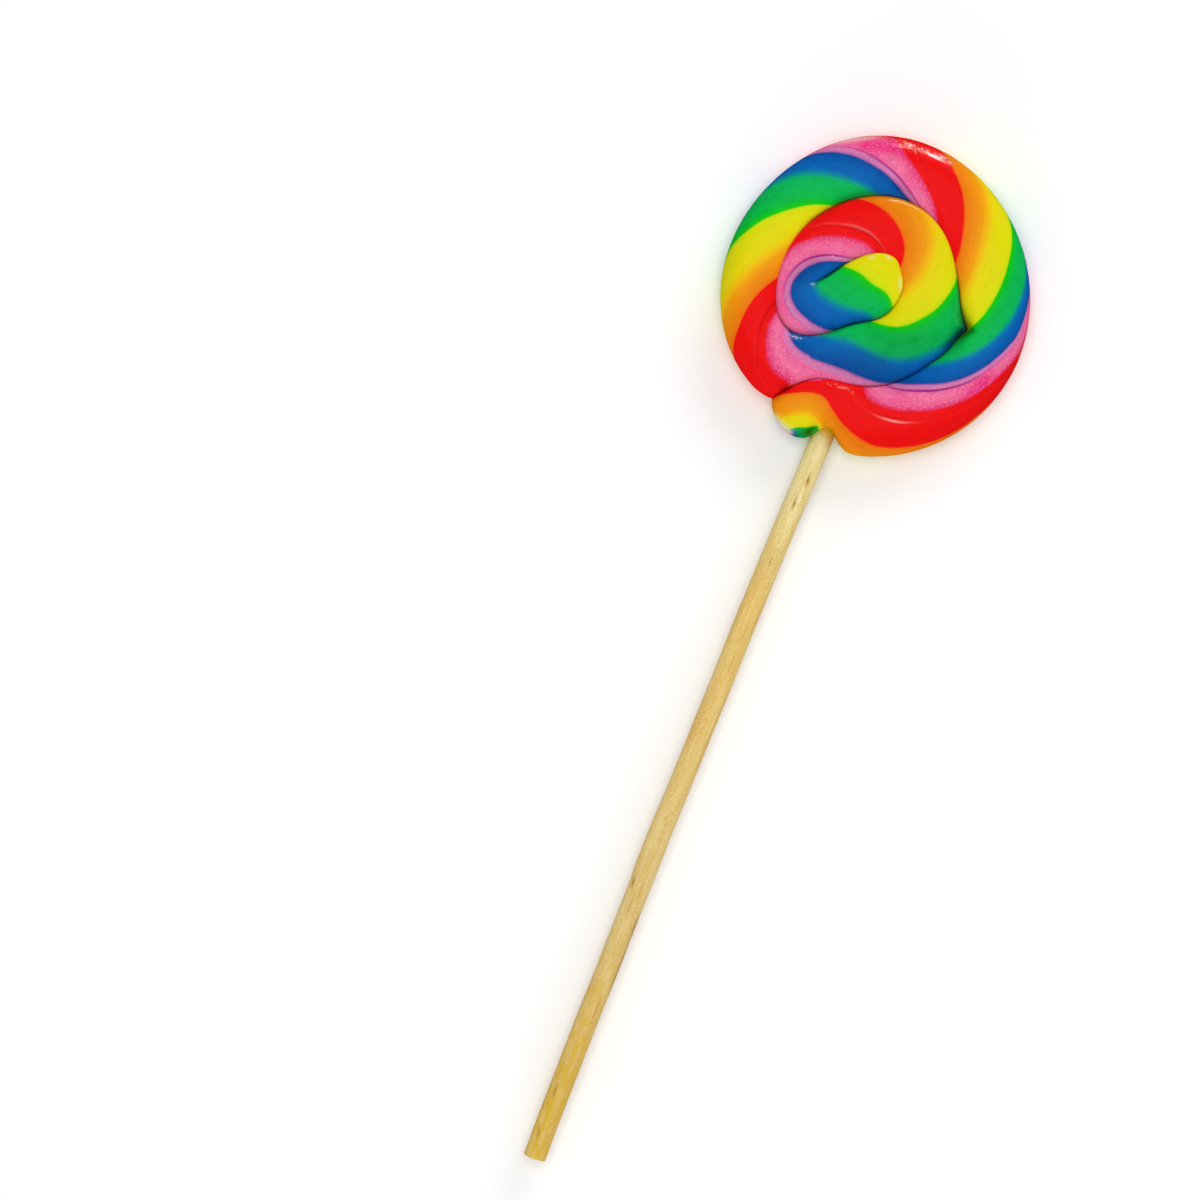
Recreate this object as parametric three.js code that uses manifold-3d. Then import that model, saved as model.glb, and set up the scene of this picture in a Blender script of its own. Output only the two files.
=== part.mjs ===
// Swirl lollipop: one thick rope of hard candy, coiled flat on itself, with a round wooden stick.
// The lollipop lies on its back with the swirl up. Millimetres, +Z up, +Y along the stick to the candy.
// The origin lies on the table, under the middle of the coil, on the stick's line.

import * as THREE from 'three';
import { mergeVertices } from 'three/addons/utils/BufferGeometryUtils.js';
import Module from 'manifold-3d';

// Heights above the table
const CROWN_Z = 11.8;          // top of the rope's rounded back, on average
const LONG_SWELL = 0.25;       // the rope was rolled by hand, so it is thicker here and there
const SHORT_SWELL = 0.12;
const CREASE_Z = 9.3;          // bottom of the groove between two turns
const RIM_Z = 5.5;             // where the outer turn bulges furthest out
const UNDER_CREASE_Z = 1.8;    // the shallow groove between two turns underneath
const START_CREASE_Z = 10.2;   // the groove is shallower where it starts in the middle
const PINCH_DEPTH = 1.3;       // the groove is deeper at its pinched corner
const FULL_ROUND_LENGTH = 9.5; // the rope tapers where it is narrower than this

// The stick
const STICK_DIAMETER = 5.0;
const STICK_LENGTH = 200.0;
const STICK_TOP_Y = -5.5;      // its hidden end, inside the candy
const STICK_BOW = 0.66;        // the free length bends this far to the left
const STICK_EDGE = 0.25;       // worn edge round each cut end
const STICK_SIDES = 32;
const CANDY_MOUTH_Y = -31.0;   // where the stick leaves the candy
const SOCKET_GAP = 0.3;

// The plan of the coil is a distance from POLE at each angle. Angles are degrees, read clockwise
// from nine o'clock and running on past 360 from turn to turn.
const POLE = [-3.0, 1.0];
const NOTCH = 649.5;           // here the groove runs out between the first full turn and the tail
const FULL_TURN = 360;

// The groove: its distance from the pole starts at SEAM_BASE and changes at each named feature
const SEAM_BASE = 6.9;
const SEAM_FEATURES = [
  { kind: 'fade', at: -16, rise: 4.5, over: 20 },      // the hooked start of the groove
  { kind: 'bump', at: 116, rise: 2.5, over: 44 },      // shoulder over the rope's inner end
  { kind: 'step', at: 297, rise: 12.7, over: 18 },     // the rope passes outside its own start
  { kind: 'bump', at: 304, rise: 2.1, over: 32 },      // elbow at the lower left
  { kind: 'bump', at: 459, rise: 2.1, over: 38 },      // full top of the second turn
  { kind: 'fade', at: 539.5, rise: 4.0, over: 10 },    // pinched corner at the right
  { kind: 'bump', at: 596, rise: 1.9, over: 48 },      // full lower right
  { kind: 'fade', at: NOTCH, rise: 11.4, over: 7 },    // runs out to the edge
];

// The outer edge, from the notch round to the notch again
const RIM_BASE = 34.4;
const RIM_FEATURES = [
  { kind: 'swing', at: 930, rise: 3.1 },               // the disc sits low and right of the pole
  { kind: 'bump', at: 799, rise: 2.5, over: 45 },      // full top
  { kind: 'bump', at: 647, rise: -1.5, over: 30 },     // flatter next to the notch
  { kind: 'bump', at: 983.5, rise: -4.9, over: 5.5 },  // dip where the stick comes out
  { kind: 'bump', at: 996, rise: 0.6, over: 6 },       // the tail hangs below the stick's mouth
  { kind: 'fade', at: NOTCH + FULL_TURN, rise: -3.3, over: 4 },
  { kind: 'fade', at: NOTCH, rise: -1.7, over: 5 },
];

// Rungs across the rope: how many to a full turn, and how much closer they stand near the notch
const RUNGS_PER_TURN = 108;
const RUNGS_TO_NOTCH = 191;
const CROWDING = 28.6;
const TIP_RUNG = 40;           // the rope's inner end closes here
const BACK_STEPS = 12;         // facets across the rope's back
const BELLY_STEPS = 6;         // and across its underside

const LAST_RUNG = RUNGS_TO_NOTCH + RUNGS_PER_TURN;
const radians = THREE.MathUtils.degToRad;
const { lerp } = THREE.MathUtils;

function featureAt(feature, angle) {
  const { kind, at, rise, over } = feature;
  if (kind === 'fade') return rise * Math.exp(-Math.abs(angle - at) / over);
  if (kind === 'bump') return rise * Math.exp(-(((angle - at) / over) ** 2));
  if (kind === 'step') return (rise / 2) * (1 + Math.tanh((angle - at) / over));
  return rise * Math.cos(radians(angle - at));
}

function distanceFromPole(angle) {
  const onSeam = angle < NOTCH;
  const features = onSeam ? SEAM_FEATURES : RIM_FEATURES;
  const base = onSeam ? SEAM_BASE : RIM_BASE;
  return features.reduce((sum, feature) => sum + featureAt(feature, angle), base);
}

// Angle of a rung's outer end. The rungs crowd together where the edge runs steeply outwards.
function rungAngle(index) {
  const turned = (FULL_TURN * (index - RUNGS_TO_NOTCH)) / RUNGS_PER_TURN;
  return NOTCH + turned - CROWDING * Math.sin(radians(turned));
}

// The outer edge ends at the notch, where the groove ended a turn before
function sharedIndex(index) {
  return index === LAST_RUNG ? RUNGS_TO_NOTCH : index;
}

// Place on the groove, or past the notch on the outer edge
function edgePoint(index) {
  const angle = rungAngle(sharedIndex(index));
  const distance = distanceFromPole(angle);
  const around = radians(180 - angle);
  return new THREE.Vector2(POLE[0] + distance * Math.cos(around), POLE[1] + distance * Math.sin(around));
}

// The inner end of a rung. On the rope's inner end it goes back along the groove to its start,
// and from there it follows one turn behind the outer end.
function innerIndex(rung) {
  if (rung >= RUNGS_PER_TURN) return rung - RUNGS_PER_TURN;
  return Math.round((TIP_RUNG * (RUNGS_PER_TURN - rung)) / (RUNGS_PER_TURN - TIP_RUNG));
}

// Height of the groove's bottom, above and underneath. Both reach the rim's height at the notch.
function edgeHeights(index) {
  if (index >= RUNGS_TO_NOTCH) return { above: RIM_Z, below: RIM_Z };
  const angle = rungAngle(index);
  const opening = Math.exp((angle - NOTCH) / 5);
  const start = Math.exp((rungAngle(0) - angle) / 9);
  const pinch = Math.exp(-(((angle - 540) / 14) ** 2));
  const above = CREASE_Z + (START_CREASE_Z - CREASE_Z) * start - PINCH_DEPTH * pinch;
  const below = UNDER_CREASE_Z * (1 - start);
  return { above: lerp(above, RIM_Z, opening), below: lerp(below, RIM_Z, opening) };
}

// Top of the rope's back at an angle
function crownHeight(angle) {
  return CROWN_Z + LONG_SWELL * Math.sin(radians(1.3 * angle)) + SHORT_SWELL * Math.sin(radians(3.1 * angle));
}

// How far the rope's back has come down between its crown (0) and its edge (1). It falls off
// more roundly to the rim than to a groove.
function backFall(across, toRim) {
  const [fullness, steepness] = toRim ? [2.6, 2.0] : [3.2, 1.7];
  return 1 - Math.max(0, 1 - across ** fullness) ** (1 / steepness);
}

// The underside is flat for the middle half of the rope and rounds up to the edge
function bellyRise(across) {
  const past = Math.max(0, across - 0.5) / 0.5;
  return 1 - Math.sqrt(Math.max(0, 1 - past * past));
}

// Fractions across the rope, closer together towards both edges
function spread(step, steps) {
  return 0.5 - 0.5 * Math.sin(Math.PI * (0.5 - step / steps));
}

// One section of the rope, as two rows of corners from the inner end to the outer end: one over
// its back and one along its belly. Corners with the same key are one corner, so that turns that
// touch share the groove between them, and the rope closes where both ends are one place.
function ropeSection(rung) {
  const ends = [innerIndex(rung), rung];
  const places = ends.map(edgePoint);
  const heights = ends.map(edgeHeights);
  const length = places[0].distanceTo(places[1]);
  const roundness = Math.sin((Math.PI / 2) * Math.min(1, length / FULL_ROUND_LENGTH));
  const closed = sharedIndex(ends[0]) === sharedIndex(ends[1]);

  const corner = (row, fraction, key) => {
    const side = fraction < 0.5 ? 0 : 1;
    const across = Math.abs(2 * fraction - 1);
    const place = places[0].clone().lerp(places[1], fraction);
    const level = lerp(heights[0][row], heights[1][row], fraction);
    const middle = lerp(level, row === 'above' ? crownHeight(rungAngle(rung)) : 0, roundness);
    const change = row === 'above' ? backFall(across, ends[side] >= RUNGS_TO_NOTCH) : bellyRise(across);
    return { key, position: [place.x, place.y, lerp(middle, heights[side][row], change)] };
  };
  const endKey = (row, index) => {
    const shared = sharedIndex(index);
    return shared >= RUNGS_TO_NOTCH ? `rim ${shared}` : `${row} ${shared}`;
  };
  const cornerRow = (row, steps) => {
    const corners = [];
    for (let step = 0; step <= steps; step += 1) {
      let key = `${row} ${rung} ${step}`;
      if (step === 0 || closed) key = endKey(row, ends[0]);
      else if (step === steps) key = endKey(row, ends[1]);
      corners.push(corner(row, spread(step, steps), key));
    }
    return corners;
  };
  return [cornerRow('above', BACK_STEPS), cornerRow('below', BELLY_STEPS)];
}

// Joins the sections from the rope's inner end to its tail into one closed skin
function coilGeometry() {
  const numbers = new Map();
  const positions = [];
  const triangles = [];

  const numberOf = ({ key, position }) => {
    if (!numbers.has(key)) {
      numbers.set(key, numbers.size);
      positions.push(...position);
    }
    return numbers.get(key);
  };
  const addTriangle = (a, b, c) => {
    if (a !== b && b !== c && c !== a) triangles.push(a, b, c);
  };
  const numberedSection = (rung) => ropeSection(rung).map((row) => row.map(numberOf));

  let last = numberedSection(TIP_RUNG);
  for (let rung = TIP_RUNG + 1; rung <= LAST_RUNG; rung += 1) {
    const next = numberedSection(rung);
    for (let step = 0; step < BACK_STEPS; step += 1) {
      addTriangle(last[0][step], next[0][step], next[0][step + 1]);
      addTriangle(last[0][step], next[0][step + 1], last[0][step + 1]);
    }
    for (let step = 0; step < BELLY_STEPS; step += 1) {
      addTriangle(last[1][step], next[1][step + 1], next[1][step]);
      addTriangle(last[1][step], last[1][step + 1], next[1][step + 1]);
    }
    last = next;
  }

  const geometry = new THREE.BufferGeometry();
  geometry.setAttribute('position', new THREE.Float32BufferAttribute(positions, 3));
  geometry.setIndex(triangles);
  return geometry;
}

// Stations along the stick, as [radius, distance from its lower end]
function stickProfile(radius, length, edge, rows) {
  const profile = [new THREE.Vector2(0, 0), new THREE.Vector2(radius - edge, 0)];
  for (let row = 0; row <= rows; row += 1) {
    profile.push(new THREE.Vector2(radius, edge + ((length - 2 * edge) * row) / rows));
  }
  profile.push(new THREE.Vector2(radius - edge, length), new THREE.Vector2(0, length));
  return profile;
}

// A round rod along +Y at the height of the rim, from yLow to yHigh
function rodGeometry(radius, yLow, yHigh, edge, rows) {
  const rod = new THREE.LatheGeometry(stickProfile(radius, yHigh - yLow, edge, rows), STICK_SIDES);
  rod.translate(0, yLow, RIM_Z);
  rod.deleteAttribute('uv');
  rod.deleteAttribute('normal');
  return mergeVertices(rod, 1e-4);
}

// Bends the free length of the stick a little to the left, and leaves its ends where they are
function bendStick(geometry) {
  const freeEnd = STICK_TOP_Y - STICK_LENGTH;
  const place = geometry.getAttribute('position');
  for (let i = 0; i < place.count; i += 1) {
    const along = (CANDY_MOUTH_Y - place.getY(i)) / (CANDY_MOUTH_Y - freeEnd);
    if (along > 0) place.setX(i, place.getX(i) - STICK_BOW * 4 * along * (1 - along));
  }
  return geometry;
}

const wasm = await Module();
wasm.setup();

function toSolid(geometry) {
  return new wasm.Manifold(new wasm.Mesh({
    numProp: 3,
    vertProperties: new Float32Array(geometry.getAttribute('position').array),
    triVerts: new Uint32Array(geometry.getIndex().array),
  }));
}

function toGeometry(solid) {
  const mesh = solid.getMesh();
  const geometry = new THREE.BufferGeometry();
  geometry.setAttribute('position', new THREE.Float32BufferAttribute(mesh.vertProperties, 3));
  geometry.setIndex(Array.from(mesh.triVerts));
  geometry.computeVertexNormals();
  return geometry;
}

// The candy, with a blind socket that leaves a thin gap round the stick
const socket = rodGeometry(STICK_DIAMETER / 2 + SOCKET_GAP, -60, STICK_TOP_Y + SOCKET_GAP, 0.2, 1);
const candyGeometry = toGeometry(toSolid(coilGeometry()).subtract(toSolid(socket)));
const candyMaterial = new THREE.MeshStandardMaterial({ color: 0xe8161a, roughness: 0.16, metalness: 0 });
const candy = new THREE.Mesh(candyGeometry, candyMaterial);
candy.name = 'candy';

// The stick
const stickGeometry = bendStick(
  rodGeometry(STICK_DIAMETER / 2, STICK_TOP_Y - STICK_LENGTH, STICK_TOP_Y, STICK_EDGE, 16),
);
stickGeometry.computeVertexNormals();
const stickMaterial = new THREE.MeshStandardMaterial({ color: 0xe6cd87, roughness: 0.7, metalness: 0 });
const stick = new THREE.Mesh(stickGeometry, stickMaterial);
stick.name = 'stick';

const lollipop = new THREE.Group();
lollipop.name = 'swirl_lollipop';
lollipop.add(candy, stick);

export default lollipop;
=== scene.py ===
"""Looks for a swirl lollipop: a rope of striped hard candy coiled flat on itself, on a birch stick.

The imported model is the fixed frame. The coil is built again here as a finer skin over the same
plan and the same heights, because its six colours run along the rope and need a map that
follows it. Sizes are in millimetres, and angles in degrees, until a mesh is written in metres.
"""

import logging
import math
from dataclasses import dataclass
from enum import Enum

import bpy
import numpy as np
from mathutils.kdtree import KDTree
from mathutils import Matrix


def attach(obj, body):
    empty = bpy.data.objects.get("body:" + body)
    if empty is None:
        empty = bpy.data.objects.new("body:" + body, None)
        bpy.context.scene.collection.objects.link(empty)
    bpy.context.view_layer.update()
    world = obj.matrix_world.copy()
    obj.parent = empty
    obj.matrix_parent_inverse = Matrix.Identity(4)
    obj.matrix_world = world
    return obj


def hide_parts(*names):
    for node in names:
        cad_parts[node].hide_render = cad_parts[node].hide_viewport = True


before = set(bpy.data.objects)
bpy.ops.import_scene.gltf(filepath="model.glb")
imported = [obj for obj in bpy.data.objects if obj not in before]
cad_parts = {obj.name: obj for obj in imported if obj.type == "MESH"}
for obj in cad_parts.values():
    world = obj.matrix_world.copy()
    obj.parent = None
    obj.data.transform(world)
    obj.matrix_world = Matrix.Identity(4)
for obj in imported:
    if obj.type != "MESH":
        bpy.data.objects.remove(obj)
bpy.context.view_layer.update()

log = logging.getLogger("lollipop")

MM = 0.001
ROPE_MAP = "rope"
SMOOTH_BELOW = 40.0
NO_LENGTH = 1e-6
NO_AREA = 1e-9

Greys = tuple[tuple[float, float], ...]
Colours = tuple[tuple[float, str], ...]


def linear(hex_colour: str) -> tuple[float, float, float, float]:
    """Turns an sRGB colour into linear light.

    Args:
        hex_colour: six hexadecimal digits after a hash sign.

    Returns:
        Red, green, blue and an alpha of 1.
    """
    channels = [int(hex_colour[i:i + 2], 16) / 255 for i in (1, 3, 5)]
    light = [c / 12.92 if c <= 0.04045 else ((c + 0.055) / 1.055) ** 2.4 for c in channels]
    return light[0], light[1], light[2], 1.0


def ramp_colour(shade: float | str) -> tuple[float, float, float, float]:
    """Colour of a ramp's stop, which is given as a grey value or as an sRGB hex colour."""
    return linear(shade) if isinstance(shade, str) else (shade, shade, shade, 1.0)


def per_metre(size_mm: float) -> float:
    """Scale of a noise whose features are about size_mm across, on coordinates in metres."""
    return 1.0 / (size_mm * MM)


def add_node(
    tree: bpy.types.NodeTree,
    kind: str,
    settings: dict | None = None,
    links: dict | None = None,
) -> bpy.types.Node:
    """Adds one node to a material or a world.

    Args:
        tree: the node tree it goes into.
        kind: Blender's name of the node's type.
        settings: values by the name of a property, or by the name or number of an input. The key
            "stops" holds a ramp's stops as pairs of a position and a grey value or a hex colour.
        links: output sockets by the name or number of the input that they feed.

    Returns:
        The new node.
    """
    node = tree.nodes.new(kind)
    for key, value in (settings or {}).items():
        if key == "stops":
            elements = node.color_ramp.elements
            while len(elements) < len(value):
                elements.new(0.5)
            for element, (position, shade) in zip(elements, value):
                element.position = position
                element.color = ramp_colour(shade)
        elif isinstance(key, str) and hasattr(node, key):
            setattr(node, key, value)
        else:
            node.inputs[key].default_value = value
    for key, socket in (links or {}).items():
        tree.links.new(socket, node.inputs[key])
    return node


def new_material(name: str) -> tuple[bpy.types.Material, bpy.types.NodeTree]:
    """Makes an empty node material.

    Args:
        name: the material's name.

    Returns:
        The material and its node tree.
    """
    material = bpy.data.materials.new(name)
    material.use_nodes = True
    material.node_tree.nodes.clear()
    return material, material.node_tree


def deselect_all() -> None:
    """Leaves nothing selected, so that the next operator acts on its own piece alone."""
    bpy.ops.object.select_all(action="DESELECT")


def select_only(piece: bpy.types.Object, *others: bpy.types.Object) -> None:
    """Selects a piece as the active one, with any others beside it.

    Args:
        piece: the piece to make active.
        others: pieces to select with it.
    """
    deselect_all()
    for other in (piece, *others):
        other.select_set(True)
    bpy.context.view_layer.objects.active = piece


def place_points(piece: bpy.types.Object, points_mm: np.ndarray) -> None:
    """Puts the vertices of a mesh at new places, given in millimetres."""
    piece.data.vertices.foreach_set("co", (points_mm * MM).astype(np.float32).ravel())
    piece.data.update()


def points_of(piece: bpy.types.Object) -> np.ndarray:
    """Places of the vertices of a mesh.

    Args:
        piece: the piece whose mesh is read.

    Returns:
        x, y and z of each vertex, in millimetres.
    """
    points = np.zeros(len(piece.data.vertices) * 3, np.float32)
    piece.data.vertices.foreach_get("co", points)
    return points.reshape(-1, 3).astype(float) / MM


def store_shade(piece: bpy.types.Object, name: str, shade: np.ndarray) -> None:
    """Stores a value from 0 to 1 at each vertex of a piece, for its material."""
    layer = piece.data.attributes.new(name, "FLOAT", "POINT")
    layer.data.foreach_set("value", np.clip(shade, 0, 1).astype(np.float32))


def apply_modifier(piece: bpy.types.Object, kind: str, settings: dict) -> None:
    """Adds a modifier and applies it at once.

    Args:
        piece: the piece that it changes.
        kind: Blender's name of the modifier's type.
        settings: values by the name of a property.
    """
    select_only(piece)
    modifier = piece.modifiers.new(kind.lower(), kind)
    for key, value in settings.items():
        setattr(modifier, key, value)
    bpy.ops.object.modifier_apply(modifier=modifier.name)


class Shape(Enum):
    """How a feature changes along the coil or along the rope."""

    FADE = "falls away on both sides of its place"
    BUMP = "swells smoothly round its place"
    STEP = "rises once and stays"
    SWING = "goes up and down once a turn"


class Row(Enum):
    """The two rows of corners that make the rope's skin."""

    BACK = "over the top"
    BELLY = "along the underside"


@dataclass(frozen=True)
class Feature:
    """One named change: its shape, where it is, how much it adds and how far it spreads."""

    shape: Shape
    at: float
    rise: float
    over: float = 1.0

    def value(self, where: np.ndarray) -> np.ndarray:
        """How much the feature adds.

        Args:
            where: angles round the coil, or millimetres along the rope.

        Returns:
            What it adds at each of them.
        """
        off = where - self.at
        if self.shape is Shape.FADE:
            return self.rise * np.exp(-np.abs(off) / self.over)
        if self.shape is Shape.BUMP:
            return self.rise * np.exp(-((off / self.over) ** 2))
        if self.shape is Shape.STEP:
            return self.rise / 2 * (1 + np.tanh(off / self.over))
        return self.rise * np.cos(np.radians(off))


@dataclass(frozen=True)
class CoilPlan:
    """Plan of the coil: the distance of its groove and its rim from a pole, at each angle.

    Angles run clockwise from nine o'clock and on past 360 from turn to turn. Rungs across the
    rope stand closer together near the notch, where the groove runs out to the rim. The features
    come from a least-squares fit to about 150 points that were read along the groove and the rim
    in the photograph, and were then rounded and adjusted.
    """

    pole: tuple[float, float] = (-3.0, 1.0)
    notch: float = 649.5
    groove_base: float = 6.9
    hook: Feature = Feature(Shape.FADE, -16, 4.5, 20)
    pinch: Feature = Feature(Shape.FADE, 539.5, 3.9, 10)
    dents: tuple[Feature, ...] = (
        Feature(Shape.BUMP, 131, -0.7, 15),
        Feature(Shape.BUMP, 555, 1.0, 13),
    )
    groove: tuple[Feature, ...] = (
        Feature(Shape.BUMP, 116, 2.5, 44),
        Feature(Shape.STEP, 297, 12.7, 18),
        Feature(Shape.BUMP, 304, 2.1, 32),
        Feature(Shape.BUMP, 459, 2.1, 38),
        Feature(Shape.BUMP, 596, 1.9, 48),
        Feature(Shape.FADE, 649.5, 11.4, 7),
    )
    rim_base: float = 34.4
    rim: tuple[Feature, ...] = (
        Feature(Shape.SWING, 930, 3.1),
        Feature(Shape.BUMP, 799, 2.5, 45),
        Feature(Shape.BUMP, 647, -1.5, 30),
        Feature(Shape.BUMP, 983.5, -4.4, 5.5),
        Feature(Shape.BUMP, 996, 0.6, 6),
        Feature(Shape.FADE, 1009.5, -3.3, 4),
        Feature(Shape.FADE, 649.5, -1.7, 5),
    )
    rungs_per_turn: int = 324
    rungs_to_notch: int = 573
    tip_rung: int = 120
    crowding: float = 28.6

    @property
    def last_rung(self) -> int:
        """The rung on which the tail closes."""
        return self.rungs_to_notch + self.rungs_per_turn

    def angle(self, index: np.ndarray) -> np.ndarray:
        """Angle of each place along the groove and the rim."""
        turned = 360 * (index - self.rungs_to_notch) / self.rungs_per_turn
        return self.notch + turned - self.crowding * np.sin(np.radians(turned))

    def shared(self, index: np.ndarray) -> np.ndarray:
        """The same indices, with the rim's end put where the groove ended a turn before."""
        return np.where(index >= self.last_rung, self.rungs_to_notch, index)

    def outward(self, index: np.ndarray) -> np.ndarray:
        """Direction from the pole to each place along the groove and the rim."""
        around = np.radians(180 - self.angle(self.shared(np.asarray(index, float))))
        return np.stack([np.cos(around), np.sin(around)], -1)

    def edge(self, index: np.ndarray, sharp: bool = True) -> np.ndarray:
        """Places on the groove, or past the notch on the rim.

        Args:
            index: numbers along the groove and the rim.
            sharp: whether the groove's pinched corner is in it.

        Returns:
            One x and y for each number.
        """
        angle = self.angle(self.shared(np.asarray(index, float)))
        corner = (self.pinch,) if sharp else ()
        features = (self.hook, *corner, *self.dents, *self.groove)
        groove = self.groove_base + sum(f.value(angle) for f in features)
        rim = self.rim_base + sum(f.value(angle) for f in self.rim)
        distance = np.where(angle < self.notch, groove, rim)
        return np.array(self.pole) + distance[..., None] * self.outward(index)

    def push(self, inner: int, rung: int) -> float:
        """How far the groove's hooked start, its pinch and its dents reach into the rope.

        Args:
            inner: number of the rung's inner end along the groove.
            rung: number of the rung.

        Returns:
            The reach along the rung, in millimetres.
        """
        angle = self.angle(np.array(inner))
        reach = float(sum(f.value(angle) for f in (self.hook, self.pinch, *self.dents)))
        first, last = self.edge(np.array([inner, rung]))
        length = math.dist(first, last)
        if length < NO_LENGTH:
            return 0.0
        return reach * float(self.outward(np.array(inner)) @ (last - first)) / length

    def inner(self, rung: np.ndarray) -> np.ndarray:
        """The inner end of each rung, which goes back along the groove on the rope's first end."""
        back = self.tip_rung * (self.rungs_per_turn - rung) / (self.rungs_per_turn - self.tip_rung)
        return np.where(rung >= self.rungs_per_turn, rung - self.rungs_per_turn, back)


@dataclass(frozen=True)
class RopeProfile:
    """Heights of the rope's section over the table, and how round it is."""

    crown_z: float = 11.8
    long_swell: float = 0.25
    long_swell_rate: float = 1.3
    short_swell: float = 0.12
    short_swell_rate: float = 3.1
    crease_z: float = 9.4
    crease_rises: tuple[Feature, ...] = (
        Feature(Shape.BUMP, 118, 1.8, 60),
        Feature(Shape.BUMP, 355, 1.7, 33),
        Feature(Shape.BUMP, 484, 1.4, 23),
        Feature(Shape.BUMP, 540, -0.6, 20),
        Feature(Shape.BUMP, 622, 1.4, 25),
    )
    start_crease_z: float = 10.0
    start_fade: float = 9.0
    opening_fade: float = 1.6
    pit_depth: float = 3.0
    pit_at: float = 540.0
    pit_spread: float = 9.0
    pit_reach: tuple[float, float] = (1.0, 2.0)
    under_crease_z: float = 1.8
    rim_z: float = 5.5
    full_round_length: float = 9.5
    groove_fall: tuple[float, float] = (3.8, 1.7)
    rim_fall: tuple[float, float] = (2.6, 2.0)

    def crown(self, angle: float) -> float:
        """Top of the rope's back, which is thicker here and there from rolling by hand.

        Args:
            angle: angle round the coil.

        Returns:
            The height in millimetres.
        """
        long_part = self.long_swell * math.sin(math.radians(self.long_swell_rate * angle))
        short_part = self.short_swell * math.sin(math.radians(self.short_swell_rate * angle))
        return self.crown_z + long_part + short_part

    def edge_height(self, plan: CoilPlan, index: int, row: Row) -> float:
        """Height of the groove's bottom, or of the rim past the notch.

        Args:
            plan: the coil's plan.
            index: number along the groove and the rim.
            row: whether it is the groove on top or the one underneath.

        Returns:
            The height in millimetres.
        """
        if index >= plan.rungs_to_notch:
            return self.rim_z
        angle = float(plan.angle(index))
        opening = math.exp((angle - plan.notch) / self.opening_fade)
        start = math.exp((float(plan.angle(0)) - angle) / self.start_fade)
        if row is Row.BACK:
            height = self.crease_z + sum(float(rise.value(angle)) for rise in self.crease_rises)
            height += (self.start_crease_z - self.crease_z) * start
        else:
            height = self.under_crease_z * (1 - start)
        return height + (self.rim_z - height) * opening

    def pit(self, angles: tuple[float, float], along: np.ndarray) -> np.ndarray:
        """Depth of the pit where the groove is pinched.

        Args:
            angles: angles of the groove at both ends of a rung.
            along: distance of each corner from the rung's inner end, in millimetres.

        Returns:
            How far each corner goes down.
        """
        gaps = along, along[-1] - along
        return sum(
            self.pit_depth * math.exp(-(((angle - self.pit_at) / self.pit_spread) ** 2))
            * np.exp(-((gap / reach) ** 2))
            for angle, gap, reach in zip(angles, gaps, self.pit_reach)
        )

    def fall(self, across: np.ndarray, row: Row, to_rim: bool) -> np.ndarray:
        """How far down the skin has come from the middle of the rope to its edge.

        Args:
            across: distance from the middle, from 0 to 1 at the edge.
            row: the row of corners, over the back or along the belly.
            to_rim: whether the edge is the rim and not a groove.

        Returns:
            The share of the way down, from 0 to 1.
        """
        if row is Row.BELLY:
            past = np.maximum(0, across - 0.5) / 0.5
            return 1 - np.sqrt(np.maximum(0, 1 - past ** 2))
        fullness, steepness = self.rim_fall if to_rim else self.groove_fall
        return 1 - np.maximum(0, 1 - across ** fullness) ** (1 / steepness)


@dataclass(frozen=True)
class Smear:
    """A patch of dragged colours: its middle and its reach on the rope, and how far they moved."""

    along: float
    around: float
    rise: float
    over_along: float
    over_around: float

    def value(self, along: np.ndarray, around: np.ndarray) -> np.ndarray:
        """How far the colours are dragged at each place."""
        off = ((along - self.along) / self.over_along) ** 2
        return self.rise * np.exp(-off - ((around - self.around) / self.over_around) ** 2)


@dataclass(frozen=True)
class Tuck:
    """The rope's end beside the stick, tucked under so that its next colours come up past a line.

    The line is given by its middle, its turn and its length. Past it the rope is green, and turns
    blue towards its tip.
    """

    x: float = -4.8
    y: float = -33.0
    turn: float = 33.0
    length: float = 7.0
    colour: float = 24.12
    blue_from: float = 0.7
    per_mm: float = 0.43
    softness: float = 0.9

    def drawn(self, colour: np.ndarray, places: np.ndarray) -> np.ndarray:
        """Colour numbers with the tuck in them.

        Args:
            colour: the colour numbers without it.
            places: x and y of each.

        Returns:
            The changed colour numbers.
        """
        cos, sin = math.cos(math.radians(self.turn)), math.sin(math.radians(self.turn))
        off_x, off_y = places[:, 0] - self.x, places[:, 1] - self.y
        past, along = off_x * sin - off_y * cos, off_x * cos + off_y * sin
        beyond = np.abs(along) - self.length / 2
        share = np.clip(past / self.softness + 1, 0, 1) * np.clip(1 - beyond, 0, 1)
        share = share ** 2 * (3 - 2 * share)
        tucked = self.colour + self.per_mm * np.maximum(0, self.blue_from - along)
        return colour + share * (tucked - colour)


@dataclass(frozen=True)
class Mark:
    """An oblong mark on a piece, seen from above: its middle, size, turn and strength."""

    x: float
    y: float
    length: float
    width: float
    turn: float
    strength: float

    def value(self, points: np.ndarray) -> np.ndarray:
        """Strength of the mark.

        Args:
            points: x, y and z of each point, in millimetres.

        Returns:
            The strength at each of them.
        """
        cos, sin = math.cos(math.radians(self.turn)), math.sin(math.radians(self.turn))
        off_x, off_y = points[:, 0] - self.x, points[:, 1] - self.y
        along = 2 * (off_x * cos + off_y * sin) / self.length
        across = 2 * (off_y * cos - off_x * sin) / self.width
        return self.strength * np.exp(-(along ** 4) - across ** 2)


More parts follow.
